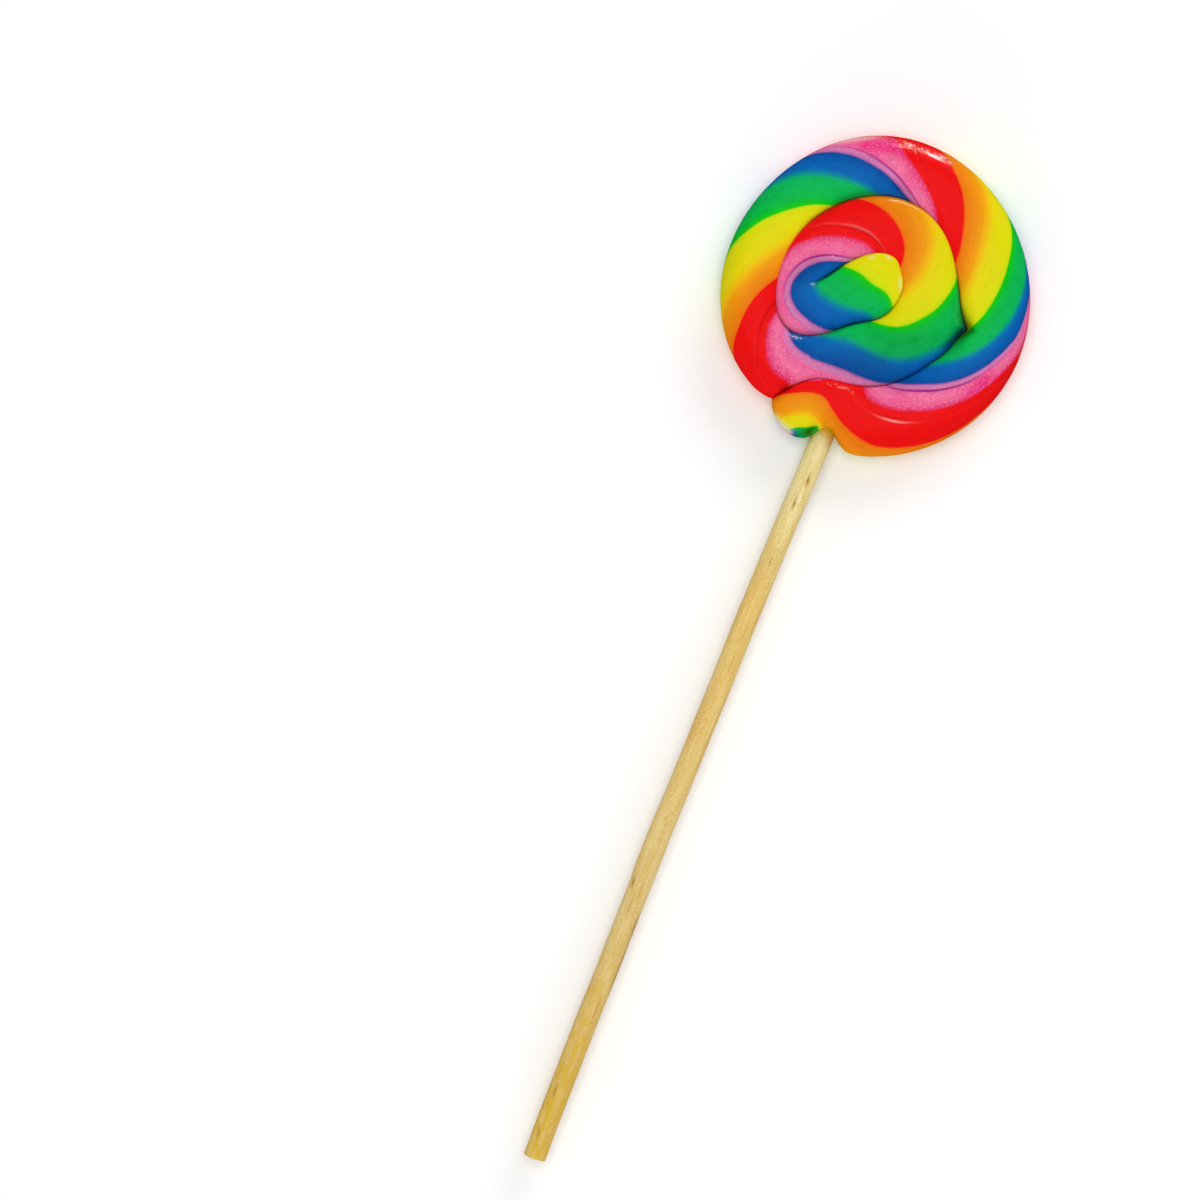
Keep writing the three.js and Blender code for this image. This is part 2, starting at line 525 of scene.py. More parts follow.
@dataclass(frozen=True)
class Twist:
    """How the colours wind round the rope as it was rolled and twisted.

    The colours are told by a number that grows round the rope and repeats after six, and the
    twist moves them on along it. Here and there a hand's grip twisted it tighter or looser. The
    start, the two rates, the grips, the thin places and the smears are a least-squares fit to
    about 200 points that were read along the stripes' edges in the photograph.
    """

    start: float = -1.578
    per_mm_along: float = 0.08264
    per_mm_round: float = 0.12093
    colours: int = 6
    grips: tuple[Feature, ...] = (
        Feature(Shape.BUMP, -23.4, 2.50, 22.5),
        Feature(Shape.BUMP, 68.6, 0.47, 13.6),
        Feature(Shape.BUMP, 113.2, -0.85, 13.0),
        Feature(Shape.BUMP, 208.1, 0.20, 9.8),
        Feature(Shape.BUMP, 245.6, 0.34, 13.8),
        Feature(Shape.BUMP, 280.2, -1.76, 6.4),
    )
    thin_places: tuple[Feature, ...] = (
        Feature(Shape.BUMP, 212.3, 0.033, 34.9),
        Feature(Shape.BUMP, 278.5, 0.211, 5.4),
    )
    smears: tuple[Smear, ...] = (
        Smear(6.2, 8.0, -0.27, 5.5, 3.8),
        Smear(29.9, 9.0, -0.13, 5.5, 5.0),
        Smear(38.7, 0.4, 0.12, 5.5, 8.0),
        Smear(128.4, 4.3, -0.28, 9.0, 6.0),
        Smear(134.6, 8.2, 0.60, 25.0, 12.0),
        Smear(179.9, 16.9, -0.60, 6.8, 4.7),
        Smear(207.9, 1.4, -0.12, 5.5, 3.8),
        Smear(220.9, 20.7, 0.54, 5.5, 3.8),
        Smear(227.2, 5.7, -0.10, 5.5, 8.0),
        Smear(236.7, 20.1, 0.60, 10.2, 6.4),
        Smear(280.3, 15.4, -0.80, 13.0, 3.0),
        Smear(281.1, 4.4, 0.80, 7.0, 3.0),
        Smear(275.6, -1.5, 0.80, 14.0, 3.0),
    )
    tuck: Tuck = Tuck()

    @property
    def girth(self) -> float:
        """Millimetres round the rope after which the colours repeat."""
        return self.colours / self.per_mm_round

    def colour(self, along: np.ndarray, around: np.ndarray) -> np.ndarray:
        """Colour number on the rope's skin.

        Args:
            along: distance along the rope, in millimetres.
            around: distance round its skin, in millimetres.

        Returns:
            The colour number at each place.
        """
        gripped = sum(grip.value(along) for grip in self.grips)
        rate = self.per_mm_round + sum(place.value(along) for place in self.thin_places)
        smeared = sum(smear.value(along, around) for smear in self.smears)
        return self.start + self.per_mm_along * along + gripped + rate * around + smeared


@dataclass(frozen=True)
class Fold:
    """A fine crease pressed into the rope, which follows one colour number and comes and goes.

    The places are distances along the rope where the fold opens, and between them it is closed.
    """

    colour: float
    depth: float
    half_width: float
    places: tuple[Feature, ...]

    def strength(self, along: np.ndarray) -> np.ndarray:
        """How open the fold is at a distance along the rope, from 0 to 1."""
        return np.clip(sum(place.value(along) for place in self.places), 0, 1)

    def dip(self, turn: np.ndarray, along: np.ndarray) -> np.ndarray:
        """Depth of the fold at a colour number and a distance along the rope."""
        off = (turn - self.colour) / self.half_width
        return self.depth * np.exp(-(off ** 2)) * self.strength(along)


LILAC_FOLD = Fold(
    2.03, 0.05, 0.07,
    (
        Feature(Shape.BUMP, 34, 0.9, 9),
        Feature(Shape.BUMP, 180, 0.8, 12),
        Feature(Shape.BUMP, 248, 1.0, 13),
    ),
)
RED_FOLD = Fold(
    2.96, 0.09, 0.07,
    (
        Feature(Shape.BUMP, 47, 0.6, 9),
        Feature(Shape.BUMP, 126, 0.7, 6),
        Feature(Shape.BUMP, 179, 0.5, 5),
        Feature(Shape.BUMP, 258, 0.45, 3.5),
    ),
)
# A painted highlight: a fine pale line of glints beside the red fold, with no relief.
FOLD_GLINT_LINE = Fold(
    3.01, 0.0, 0.07,
    (
        Feature(Shape.BUMP, 46, 0.15, 5),
        Feature(Shape.BUMP, 258, 0.4, 2.6),
    ),
)


@dataclass(frozen=True)
class StripedSugar:
    """Boiled sugar, pulled till it is opaque, laid up in coloured strips and rolled to a rope.

    Pulled sugar has a smooth, hard gloss like glazed china, with faint streaks along the pull.
    Strips that were laid on warm blend a little into each other. The pink strip was pulled less
    than the others and still shows small bubbles. Sizes and reliefs are in millimetres. The stops,
    the pink strip and the unevenness go by colour number, and the masks by the value of a noise.
    """

    name: str = "pulled_sugar_striped"
    rope_length: float = 286.3
    fold_stops: tuple[float, ...] = (-2, -1.1, -0.5, 0, 0.5, 1.1, 2)
    fold_line: float = 0.05
    glaze: float = 0.4
    glaze_roughness: float = 0.14
    glaze_ior: float = 1.5
    sugar_roughness: tuple[float, float] = (0.10, 0.18)
    wander_size: float = 9.0
    wander: float = 0.018
    streak_size: tuple[float, float] = (0.5, 10.0)
    streak_range: tuple[float, float] = (0.3, 0.7)
    streak_colours: Colours = ((0.3, "#e6e6e6"), (0.5, "#fafafa"), (0.7, "#ffffff"))
    streak_share: float = 0.5
    patch_size: float = 2.2
    patch_colours: Colours = ((0.3, "#e2e2e2"), (0.5, "#f8f8f8"), (0.68, "#ffffff"))
    pink_strip: Greys = ((1.83, 0.0), (2.05, 1.0), (2.6, 1.0), (2.7, 0.0))
    cloud_size: float = 4.5
    cloud_mask: Greys = ((0.45, 0.0), (0.72, 0.4))
    cloud_colour: str = "#e02e78"
    bubble_size: float = 0.55
    bubble_mask: Greys = ((0.5, 0.0), (0.75, 0.5))
    bubble_colour: str = "#f8a6c4"
    # The two fold colours are painted shade in the creases; the lilac one is also the purple stain
    # of the strips beside it.
    lilac_fold_stain_and_shade: str = "#93107a"
    red_fold_shade_colour: str = "#b80a0c"
    # Painted shade at the seams and in dark patches: the colour is raised to this power and
    # multiplied by this colour.
    shade_gamma: float = 2.0
    painted_shade_colour: str = "#a09292"
    # Painted highlight: the pale colour of sheen and glints on edges, and of the floor's reflection
    # under the tail.
    sheen_colour: str = "#e9dcc0"
    pit_size: float = 0.7
    # Painted glints: pale specks in the pits and in a fine line beside the red fold.
    glint_mask: Greys = ((0.46, 0.0), (0.6, 0.9))
    glint_colour: str = "#ffd4cc"
    fold_relief: float = 0.2
    streak_relief: float = 0.010
    bubble_relief: float = 0.008
    pit_relief: float = 0.35
    stops: Colours = (
        (0.00, "#bbdc0e"),
        (0.045, "#12cf10"),
        (0.12, "#0fc51c"),
        (0.30, "#0cba48"),
        (0.92, "#0cb65c"),
        (1.10, "#0c84a0"),
        (1.22, "#0c68b7"),
        (1.62, "#0b5bab"),
        (1.79, "#0b4c9e"),
        (1.83, "#b862a6"),
        (1.88, "#cf7ab0"),
        (2.00, "#d47cb0"),
        (2.07, "#ee66a0"),
        (2.28, "#f3739f"),
        (2.48, "#ee5e8e"),
        (2.63, "#e23468"),
        (2.70, "#ee1214"),
        (3.80, "#ee0f10"),
        (3.86, "#ed7410"),
        (4.15, "#ed850f"),
        (4.62, "#ef9c10"),
        (4.88, "#f0bd10"),
        (5.10, "#e5d310"),
        (5.85, "#dbda0e"),
        (6.00, "#c7da0e"),
    )
    unevenness: Greys = (
        (0.0, 0.7), (1.1, 1.0), (1.9, 0.8), (2.7, 0.5), (3.8, 0.4), (5.0, 0.15), (5.9, 0.15),
    )

    def band(self, middle: float, half: float, colours: int) -> list[tuple[float, float]]:
        """Stops of a ramp that is 1 at one colour number and 0 a little to each side."""
        steps = ((-half, 0.0), (-half / 3, 1.0), (half / 3, 1.0), (half, 0.0))
        return [((middle + off) / colours, grey) for off, grey in steps]

    def fold_mask(
        self,
        tree: bpy.types.NodeTree,
        fold: Fold,
        turn: bpy.types.NodeSocket,
        along: bpy.types.NodeSocket,
        colours: int,
    ) -> bpy.types.NodeSocket:
        """Draws a fold as a fine line that comes and goes along the rope.

        Args:
            tree: the material's node tree.
            fold: the fold.
            turn: the colour number's place in the turn, from 0 to 1.
            along: the place along the rope, from 0 to 1.
            colours: how many colour numbers there are to a turn.

        Returns:
            A grey value, 1 on the line where the fold is open.
        """
        line = add_node(
            tree, "ShaderNodeValToRGB",
            {"stops": self.band(fold.colour, self.fold_line, colours)}, {"Fac": turn},
        )
        places = sorted(
            place.at + far * place.over for place in fold.places for far in self.fold_stops
        )
        shown = fold.strength(np.array(places))
        stops = [(at / self.rope_length, float(strength)) for at, strength in zip(places, shown)]
        opened = add_node(tree, "ShaderNodeValToRGB", {"stops": stops}, {"Fac": along})
        both = add_node(
            tree, "ShaderNodeMath", {"operation": "MULTIPLY"},
            {0: line.outputs["Color"], 1: opened.outputs["Color"]},
        )
        return both.outputs[0]

    def build(self, twist: Twist) -> bpy.types.Material:
        """Makes the material.

        Args:
            twist: the winding of the colours, for the scale of the rope's map.

        Returns:
            The new material.
        """
        material, tree = new_material(self.name)
        colours = twist.colours
        place = add_node(tree, "ShaderNodeTexCoord").outputs["Object"]
        rope = add_node(tree, "ShaderNodeUVMap", {"uv_map": ROPE_MAP}).outputs["UV"]
        split = add_node(tree, "ShaderNodeSeparateXYZ", links={0: rope})
        along = add_node(
            tree, "ShaderNodeMath", {"operation": "MULTIPLY", 1: twist.girth / self.rope_length},
            {0: split.outputs["Y"]},
        ).outputs[0]

        # The strips' edges wander by a few tenths of a millimetre
        wander = add_node(
            tree, "ShaderNodeTexNoise", {"Scale": per_metre(self.wander_size), "Detail": 2.0},
            {"Vector": place},
        )
        offset = add_node(
            tree, "ShaderNodeMath",
            {"operation": "MULTIPLY_ADD", 1: self.wander, 2: -self.wander / 2},
            {0: wander.outputs["Fac"]},
        )
        moved = add_node(
            tree, "ShaderNodeMath", {"operation": "ADD"},
            {0: split.outputs["X"], 1: offset.outputs[0]},
        )
        turn = add_node(
            tree, "ShaderNodeMath", {"operation": "FRACT"}, {0: moved.outputs[0]}
        ).outputs[0]
        stops = [(at / colours, colour) for at, colour in self.stops]
        stripes = add_node(tree, "ShaderNodeValToRGB", {"stops": stops}, {"Fac": turn})

        # Streaks of the pull: half a millimetre across and ten long, along the colours
        across, lengthwise = self.streak_size
        pulled = add_node(
            tree, "ShaderNodeMapping",
            {"Scale": (twist.girth / across, twist.girth / lengthwise, 1)}, {"Vector": rope},
        )
        streaks = add_node(
            tree, "ShaderNodeTexNoise", {"Scale": 1.0, "Detail": 3.0, "Roughness": 0.6},
            {"Vector": pulled.outputs[0]},
        ).outputs["Fac"]
        streak_shade = add_node(
            tree, "ShaderNodeValToRGB", {"stops": self.streak_colours}, {"Fac": streaks}
        )
        streaked = add_node(
            tree, "ShaderNodeMix",
            {"data_type": "RGBA", "blend_type": "MULTIPLY", 0: self.streak_share},
            {6: stripes.outputs["Color"], 7: streak_shade.outputs["Color"]},
        ).outputs[2]

        # Thick and thin places of the colour: soft patches two millimetres wide, with a fine grain
        patches = add_node(
            tree, "ShaderNodeTexNoise",
            {"Scale": per_metre(self.patch_size), "Detail": 5.0, "Roughness": 0.78},
            {"Vector": place},
        ).outputs["Fac"]
        patch_shade = add_node(
            tree, "ShaderNodeValToRGB", {"stops": self.patch_colours}, {"Fac": patches}
        )
        uneven = add_node(
            tree, "ShaderNodeValToRGB",
            {"stops": [(at / colours, share) for at, share in self.unevenness]}, {"Fac": turn},
        )
        patched = add_node(
            tree, "ShaderNodeMix", {"data_type": "RGBA", "blend_type": "MULTIPLY"},
            {0: uneven.outputs["Color"], 6: streaked, 7: patch_shade.outputs["Color"]},
        ).outputs[2]

        # Bubbles under the pink strip's skin: pale dots of half a millimetre, in darker clouds
        pinkness = add_node(
            tree, "ShaderNodeValToRGB",
            {"stops": [(at / colours, share) for at, share in self.pink_strip]}, {"Fac": turn},
        ).outputs["Color"]
        clouds = add_node(
            tree, "ShaderNodeTexNoise", {"Scale": per_metre(self.cloud_size), "Detail": 3.0},
            {"Vector": place},
        )
        cloud_mask = add_node(
            tree, "ShaderNodeValToRGB", {"stops": self.cloud_mask}, {"Fac": clouds.outputs["Fac"]}
        )
        rosy = add_node(tree, "ShaderNodeAttribute", {"attribute_name": "rosy"}).outputs["Fac"]
        cloudiness = add_node(
            tree, "ShaderNodeMath", {"operation": "ADD"}, {0: cloud_mask.outputs["Color"], 1: rosy}
        )
        cloud_share = add_node(
            tree, "ShaderNodeMath", {"operation": "MULTIPLY"},
            {0: cloudiness.outputs[0], 1: pinkness},
        )
        clouded = add_node(
            tree, "ShaderNodeMix", {"data_type": "RGBA", 7: linear(self.cloud_colour)},
            {0: cloud_share.outputs[0], 6: patched},
        ).outputs[2]
        dots = add_node(
            tree, "ShaderNodeTexNoise",
            {"Scale": per_metre(self.bubble_size), "Detail": 3.0, "Roughness": 0.7},
            {"Vector": place},
        ).outputs["Fac"]
        dot_mask = add_node(
            tree, "ShaderNodeValToRGB", {"stops": self.bubble_mask}, {"Fac": dots}
        )
        dot_share = add_node(
            tree, "ShaderNodeMath", {"operation": "MULTIPLY"},
            {0: dot_mask.outputs["Color"], 1: pinkness},
        )
        dotted = add_node(
            tree, "ShaderNodeMix", {"data_type": "RGBA", 7: linear(self.bubble_colour)},
            {0: dot_share.outputs[0], 6: clouded},
        ).outputs[2]

        # The two folds drawn darker: painted shade in the creases, and on the lilac one also the
        # purple stain of the strips on both sides
        lilac = self.fold_mask(tree, LILAC_FOLD, turn, along, colours)
        red = self.fold_mask(tree, RED_FOLD, turn, along, colours)
        lilac_stained_and_shaded = add_node(
            tree, "ShaderNodeMix", {"data_type": "RGBA", 7: linear(self.lilac_fold_stain_and_shade)},
            {0: lilac, 6: dotted},
        ).outputs[2]
        red_fold_shaded = add_node(
            tree, "ShaderNodeMix", {"data_type": "RGBA", 7: linear(self.red_fold_shade_colour)},
            {0: red, 6: lilac_stained_and_shaded},
        ).outputs[2]

        # Painted shade: the seams between turns and some patches are darkened where shade falls in
        # the creases and on flanks turned away from the light
        deep = add_node(tree, "ShaderNodeAttribute", {"attribute_name": "deep"}).outputs["Fac"]
        darker_copy = add_node(
            tree, "ShaderNodeGamma", {"Gamma": self.shade_gamma}, {"Color": red_fold_shaded}
        ).outputs["Color"]
        shaded = add_node(
            tree, "ShaderNodeMix",
            {"data_type": "RGBA", "blend_type": "MULTIPLY", 0: 1.0, 7: linear(self.painted_shade_colour)},
            {6: darker_copy},
        ).outputs[2]
        with_painted_shade = add_node(
            tree, "ShaderNodeMix", {"data_type": "RGBA"}, {0: deep, 6: red_fold_shaded, 7: shaded}
        ).outputs[2]

        # Painted highlights: pale sheen and glints where light catches edges, and the white floor's
        # reflection under the tail
        grained = add_node(
            tree, "ShaderNodeAttribute", {"attribute_name": "grained"}
        ).outputs["Fac"]
        with_sheen = add_node(
            tree, "ShaderNodeMix", {"data_type": "RGBA", 7: linear(self.sheen_colour)},
            {0: grained, 6: with_painted_shade},
        ).outputs[2]

        # The folds, the streaks and the bubbles are in relief too
        folds = add_node(tree, "ShaderNodeMath", {"operation": "ADD"}, {0: lilac, 1: red})
        fold_bump = add_node(
            tree, "ShaderNodeBump",
            {"Strength": 1.0, "Distance": self.fold_relief * MM, "invert": True},
            {"Height": folds.outputs[0]},
        )
        streak_bump = add_node(
            tree, "ShaderNodeBump", {"Strength": 1.0, "Distance": self.streak_relief * MM},
            {"Height": streaks, "Normal": fold_bump.outputs[0]},
        )
        dot_bump = add_node(
            tree, "ShaderNodeBump", {"Strength": 1.0, "Distance": self.bubble_relief * MM},
            {"Height": dots, "Normal": streak_bump.outputs[0]},
        )

        # Burst bubbles leave tiny rough pits in relief. The pale specks in them, and the fine pale
        # line beside the red fold, are painted glints
        blister = add_node(
            tree, "ShaderNodeAttribute", {"attribute_name": "blister"}
        ).outputs["Fac"]
        pits = add_node(
            tree, "ShaderNodeTexNoise", {"Scale": per_metre(self.pit_size), "Detail": 2.0},
            {"Vector": place},
        )
        glints = add_node(
            tree, "ShaderNodeValToRGB", {"stops": self.glint_mask}, {"Fac": pits.outputs["Fac"]}
        )
        beside = self.fold_mask(tree, FOLD_GLINT_LINE, turn, along, colours)
        in_pits = add_node(
            tree, "ShaderNodeMath", {"operation": "MULTIPLY"},
            {0: glints.outputs["Color"], 1: blister},
        )
        glint_share = add_node(
            tree, "ShaderNodeMath", {"operation": "MAXIMUM"}, {0: in_pits.outputs[0], 1: beside}
        )
        sparkling = add_node(
            tree, "ShaderNodeMix", {"data_type": "RGBA", 7: linear(self.glint_colour)},
            {0: glint_share.outputs[0], 6: with_sheen},
        ).outputs[2]
        pitted = add_node(
            tree, "ShaderNodeMath", {"operation": "MULTIPLY"}, {0: pits.outputs["Fac"], 1: blister}
        )
        pit_bump = add_node(
            tree, "ShaderNodeBump", {"Strength": 1.0, "Distance": self.pit_relief * MM},
            {"Height": pitted.outputs[0], "Normal": dot_bump.outputs[0]},
        )

        # The gloss is all in the glaze, a hard skin of clear sugar over the opaque body
        finest, coarsest = self.streak_range
        smooth, rough = self.sugar_roughness
        roughness = add_node(
            tree, "ShaderNodeMapRange",
            {"From Min": finest, "From Max": coarsest, "To Min": smooth, "To Max": rough},
            {"Value": streaks},
        )
        surface = add_node(
            tree, "ShaderNodeBsdfPrincipled",
            {
                "Specular IOR Level": 0.0,
                "Coat Weight": self.glaze,
                "Coat Roughness": self.glaze_roughness,
                "Coat IOR": self.glaze_ior,
            },
            {
                "Base Color": sparkling,
                "Roughness": roughness.outputs[0],
                "Normal": pit_bump.outputs[0],
                "Coat Normal": pit_bump.outputs[0],
            },
        )
        add_node(tree, "ShaderNodeOutputMaterial", links={"Surface": surface.outputs[0]})
        return material


@dataclass(frozen=True)
class BirchDowel:
    """Birch, turned to a dowel and lightly sanded, with no lacquer: pale, dry and faintly streaked.

    The grain runs along the stick in streaks a third of a millimetre wide, crossed in places by
    short pale rays. Short brown flecks of pith are in it, and handling has left its lower end
    yellower than the rest. Sizes are widths and lengths in millimetres. The ageing and the stained
    part go from the candy (0) to the free end (1), and the masks by the value of a noise.
    """

    name: str = "birch_sanded"
    mouth_y: float = -31.0
    free_end_y: float = -205.5
    grain_size: tuple[float, float] = (0.34, 14.0)
    grain_relief: float = 0.03
    wood: Colours = ((0.28, "#dbbd78"), (0.45, "#e7d292"), (0.6, "#eddea2"), (0.75, "#f2e8b6"))
    patch_size: tuple[float, float] = (2.2, 16.0)
    patch_mask: Greys = ((0.45, 0.0), (0.7, 0.55))
    patch_colour: str = "#dcb96a"
    ray_size: tuple[float, float] = (0.7, 0.3)
    ray_mask: Greys = ((0.54, 0.0), (0.68, 0.4))
    ray_colour: str = "#f5eac6"
    pore_mask: Greys = ((0.32, 0.32), (0.46, 0.0))
    pore_colour: str = "#cda95a"
    stain_size: tuple[float, float] = (1.1, 4.0)
    stain_mask: Greys = ((0.45, 0.0), (0.6, 0.85))
    stained_part: Greys = ((0.55, 0.0), (0.92, 1.0))
    stain_colour: str = "#d2ac28"
    fleck_colour: str = "#9c6200"
    # Syrup stain together with the painted shadow of the candy, on the stick just below its mouth.
    syrup_and_shadow_colour: str = "#bb8e02"
    roughness: float = 0.65
    ior: float = 1.5
    specular: float = 0.15
    ageing: Colours = (
        (0.00, "#fcffff"),
        (0.12, "#fbfcf5"),
        (0.24, "#f6e6be"),
        (0.50, "#f5e7ce"),
        (0.70, "#f2ebe2"),
        (0.88, "#efdcb2"),
        (1.00, "#efd9a7"),
    )

    def drawn_out(
        self,
        tree: bpy.types.NodeTree,
        place: bpy.types.NodeSocket,
        size: tuple[float, float],
        texture: dict,
    ) -> bpy.types.NodeSocket:
        """Draws a noise that is stretched along the stick.

        Args:
            tree: the material's node tree.
            place: the Object coordinates.
            size: width and length of the noise's features, in millimetres.
            texture: the noise's other settings.

        Returns:
            The noise, as a grey value.
        """
        across, along = size
        stretched = add_node(
            tree, "ShaderNodeMapping",
            {"Scale": (per_metre(across), per_metre(along), per_metre(across))}, {"Vector": place},
        )
        noise = add_node(
            tree, "ShaderNodeTexNoise", {"Scale": 1.0, **texture}, {"Vector": stretched.outputs[0]}
        )
        return noise.outputs["Fac"]

    def build(self) -> bpy.types.Material:
        """Makes the material.

        Returns:
            The new material.
        """
        material, tree = new_material(self.name)
        place = add_node(tree, "ShaderNodeTexCoord").outputs["Object"]
        split = add_node(tree, "ShaderNodeSeparateXYZ", links={0: place})
        lower = add_node(
            tree, "ShaderNodeMapRange",
            {"From Min": self.mouth_y * MM, "From Max": self.free_end_y * MM},
            {"Value": split.outputs["Y"]},
        ).outputs[0]

        # Long streaks of the grain, with darker patches two millimetres wide
        grain = self.drawn_out(tree, place, self.grain_size, {"Detail": 4.0, "Roughness": 0.6})
        wood = add_node(tree, "ShaderNodeValToRGB", {"stops": self.wood}, {"Fac": grain})
        patches = self.drawn_out(tree, place, self.patch_size, {"Detail": 2.0})
        patch_mask = add_node(
            tree, "ShaderNodeValToRGB", {"stops": self.patch_mask}, {"Fac": patches}
        )
        patched = add_node(
            tree, "ShaderNodeMix", {"data_type": "RGBA", 7: linear(self.patch_colour)},
            {0: patch_mask.outputs["Color"], 6: wood.outputs["Color"]},
        ).outputs[2]

        # Pale rays across the grain, under a millimetre long, and darker pores between them
        rays = self.drawn_out(tree, place, self.ray_size, {"Detail": 1.0})
        ray_mask = add_node(tree, "ShaderNodeValToRGB", {"stops": self.ray_mask}, {"Fac": rays})
        rayed = add_node(
            tree, "ShaderNodeMix", {"data_type": "RGBA", 7: linear(self.ray_colour)},
            {0: ray_mask.outputs["Color"], 6: patched},
        ).outputs[2]
        pore_mask = add_node(tree, "ShaderNodeValToRGB", {"stops": self.pore_mask}, {"Fac": rays})
        pored = add_node(
            tree, "ShaderNodeMix", {"data_type": "RGBA", 7: linear(self.pore_colour)},
            {0: pore_mask.outputs["Color"], 6: rayed},
        ).outputs[2]
        ageing = add_node(tree, "ShaderNodeValToRGB", {"stops": self.ageing}, {"Fac": lower})
        aged = add_node(
            tree, "ShaderNodeMix", {"data_type": "RGBA", "blend_type": "MULTIPLY", 0: 1.0},
            {6: pored, 7: ageing.outputs["Color"]},
        ).outputs[2]

        # Hands have stained the lower end in yellow spots, a millimetre across and four long
        stains = self.drawn_out(tree, place, self.stain_size, {"Detail": 5.0, "Roughness": 0.65})
        stain_mask = add_node(
            tree, "ShaderNodeValToRGB", {"stops": self.stain_mask}, {"Fac": stains}
        )
        stained_part = add_node(
            tree, "ShaderNodeValToRGB", {"stops": self.stained_part}, {"Fac": lower}
        )
        stain_share = add_node(
            tree, "ShaderNodeMath", {"operation": "MULTIPLY"},
            {0: stain_mask.outputs["Color"], 1: stained_part.outputs["Color"]},
        )
        yellowed = add_node(
            tree, "ShaderNodeMix", {"data_type": "RGBA", 7: linear(self.stain_colour)},
            {0: stain_share.outputs[0], 6: aged},
        ).outputs[2]
        fleck = add_node(tree, "ShaderNodeAttribute", {"attribute_name": "fleck"}).outputs["Fac"]
        flecked = add_node(
            tree, "ShaderNodeMix", {"data_type": "RGBA", 7: linear(self.fleck_colour)},
            {0: fleck, 6: yellowed},
        ).outputs[2]

        # Syrup has soaked a little way out of the candy, and the candy's shadow on the stick is
        # painted in with it: olive-dark just below the mouth
        syrup = add_node(tree, "ShaderNodeAttribute", {"attribute_name": "syrup"}).outputs["Fac"]
        soaked_and_shaded = add_node(
            tree, "ShaderNodeMix", {"data_type": "RGBA", 7: linear(self.syrup_and_shadow_colour)},
            {0: syrup, 6: flecked},
        ).outputs[2]
        grain_bump = add_node(
            tree, "ShaderNodeBump", {"Strength": 1.0, "Distance": self.grain_relief * MM},
            {"Height": grain},
        )
        surface = add_node(
            tree, "ShaderNodeBsdfPrincipled",
            {"Roughness": self.roughness, "IOR": self.ior, "Specular IOR Level": self.specular},
            {"Base Color": soaked_and_shaded, "Normal": grain_bump.outputs[0]},
        )
        add_node(tree, "ShaderNodeOutputMaterial", links={"Surface": surface.outputs[0]})
        return material


